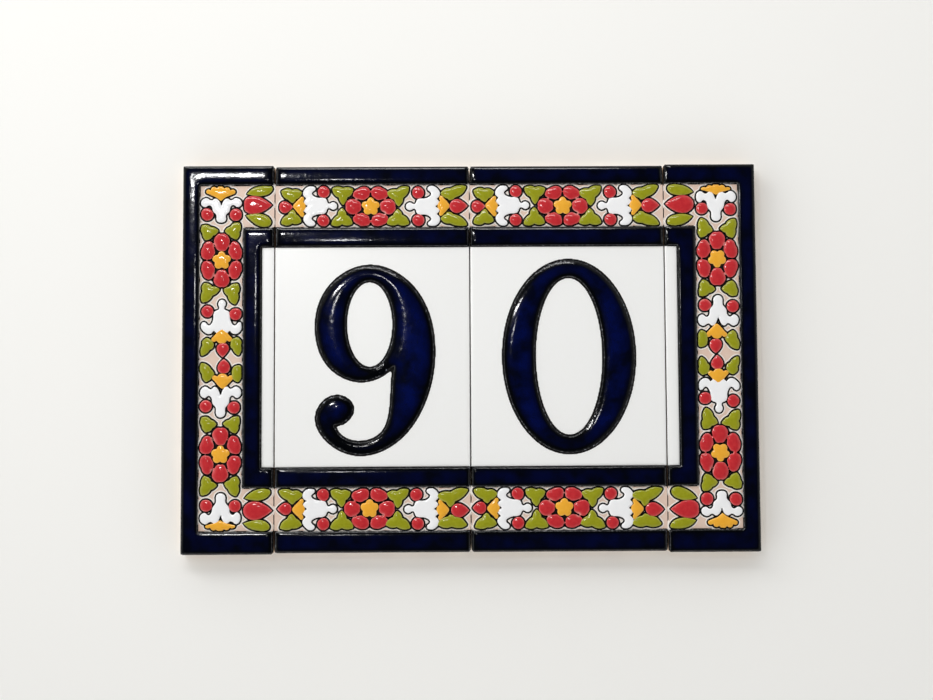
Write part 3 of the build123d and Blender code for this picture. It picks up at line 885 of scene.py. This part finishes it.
# Light: a soft bright room, darker straight ahead where the viewer stands, a long window up to the left
# that streaks the bars, a small bulb by the viewer that puts a spot on each dome, and a tube at the ceiling.
ROOM_STRENGTH, VIEWER_STRENGTH = 1.76, 0.02
LEFT_SHARE, RIGHT_SHARE = 1.25, 0.75
BACK_SHARE = 0.5
VIEWER_EDGE, ROOM_EDGE, BACK_EDGE = -0.85, -0.3, 0.1
world = bpy.data.worlds.new("room")
bpy.context.scene.world = world
world.use_nodes = True
tree = world.node_tree
way = add_node(tree, "ShaderNodeTexCoord", {}).node.outputs["Generated"]
sides = add_node(tree, "ShaderNodeSeparateXYZ", {"Vector": way}).node.outputs
room = {
    "Value": sides["Y"],
    "From Min": VIEWER_EDGE,
    "From Max": ROOM_EDGE,
    "To Min": VIEWER_STRENGTH,
    "To Max": ROOM_STRENGTH,
}
level = add_node(tree, "ShaderNodeMapRange", room)
lopsided = {"Value": sides["X"], "From Min": -1.0, "From Max": 1.0, "To Min": LEFT_SHARE, "To Max": RIGHT_SHARE}
shares = {0: level, 1: add_node(tree, "ShaderNodeMapRange", lopsided)}
sided = add_node(tree, "ShaderNodeMath", shares, operation="MULTIPLY")
behind = {"Value": sides["Y"], "From Min": 0.0, "From Max": BACK_EDGE, "To Min": 1.0, "To Max": BACK_SHARE}
lights = {0: sided, 1: add_node(tree, "ShaderNodeMapRange", behind)}
lit = add_node(tree, "ShaderNodeMath", lights, operation="MULTIPLY")
tree.links.new(lit, tree.nodes["Background"].inputs["Strength"])
tree.nodes["Background"].inputs["Color"].default_value = (1, 1, 1, 1)
# Each lamp's place and size in metres, and its watts
LAMPS = {
    "window": ((-0.25, -0.5, 0.5), (0.9, 0.05), 1.85),
    "bulb": ((-0.106, -0.62, 0.092), (0.02, 0.02), 0.055),
    "tube": ((-0.2, -0.62, 0.192), (0.07, 0.014), 0.4),
}
for name, (place, size, watts) in LAMPS.items():
    lamp = bpy.data.objects.new(name, bpy.data.lights.new(name, "AREA"))
    lamp.data.shape = "RECTANGLE"
    lamp.data.size, lamp.data.size_y = size
    lamp.data.energy = watts
    lamp.location = place
    lamp.rotation_euler = (-lamp.location).to_track_quat("-Z", "Y").to_euler()
    bpy.context.scene.collection.objects.link(lamp)

# Camera: nearly square to the plaque, half a metre off and a little below its middle,
# held by hand, so that it looks up a little and is turned and rolled by less than half a degree.
CAMERA_PLACE = (-5.3 * MM, -500 * MM, -27.2 * MM)
CAMERA_YAW, CAMERA_PITCH, CAMERA_ROLL = (math.radians(a) for a in (0.45, 3.49, -0.31))
CAMERA_LENS = 49.42
camera = bpy.data.objects.new("camera", bpy.data.cameras.new("camera"))
camera.data.lens = CAMERA_LENS
camera.data.sensor_width = 36
camera.data.clip_start = 0.01
turned = Matrix.Rotation(-CAMERA_YAW, 3, "Z") @ Matrix.Rotation(math.pi / 2 + CAMERA_PITCH, 3, "X")
camera.rotation_euler = (turned @ Matrix.Rotation(CAMERA_ROLL, 3, "Z")).to_euler()
camera.location = CAMERA_PLACE
bpy.context.scene.collection.objects.link(camera)
bpy.context.scene.camera = camera
bpy.context.scene.view_settings.view_transform = "Standard"
